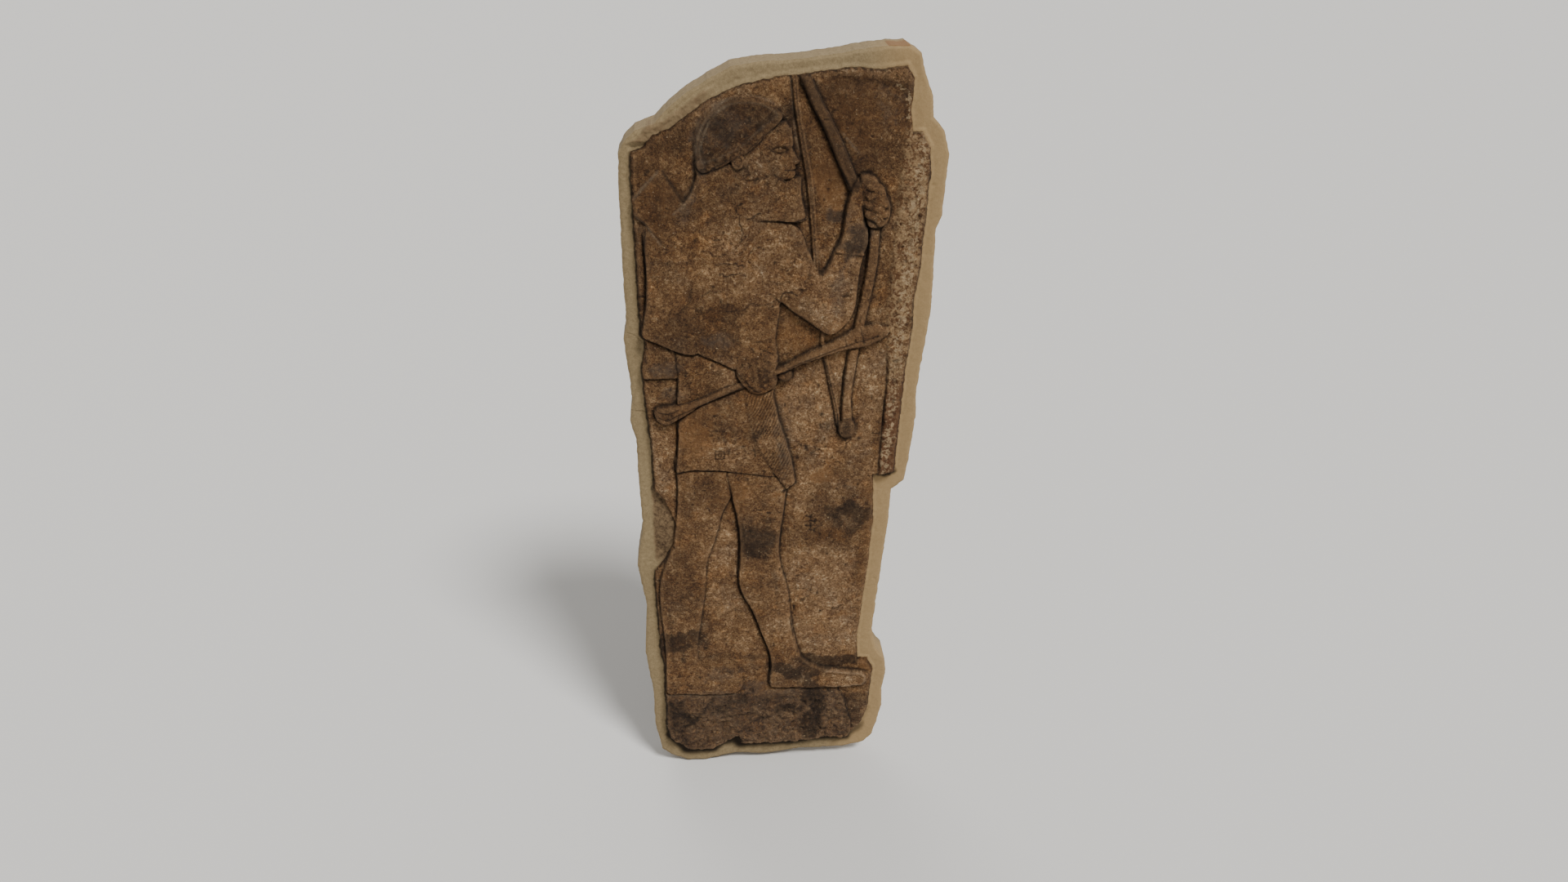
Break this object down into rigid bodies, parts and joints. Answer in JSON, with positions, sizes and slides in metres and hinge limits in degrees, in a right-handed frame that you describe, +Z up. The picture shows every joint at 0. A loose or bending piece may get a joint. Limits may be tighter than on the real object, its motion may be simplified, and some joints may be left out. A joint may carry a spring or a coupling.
{
  "type": "stone relief panel",
  "caption": "Tall stone slab carved in low relief with a bearded archer in profile, set in a ragged plaster surround, for fixing flat to a wall.",
  "frame": {"origin": "centre of the slab's flat back, where it bears on the wall", "axes": "+Z up the slab, +Y out of its back into the wall, +X to the right as one faces the carving, which looks towards -Y"},
  "size_m": [0.576, 0.0936, 1.616],
  "materials": {
    "stone": "weathered buff-brown gypsum stone, matt, with ochre, grey and dark brown staining",
    "plaster": "pale cream lime or gypsum plaster, matt and slightly lumpy, dirtied next to the stone"
  },
  "bodies": {
    "root": {"stone_panel": "stone", "plaster_surround": "plaster"}
  },
  "joints": []
}
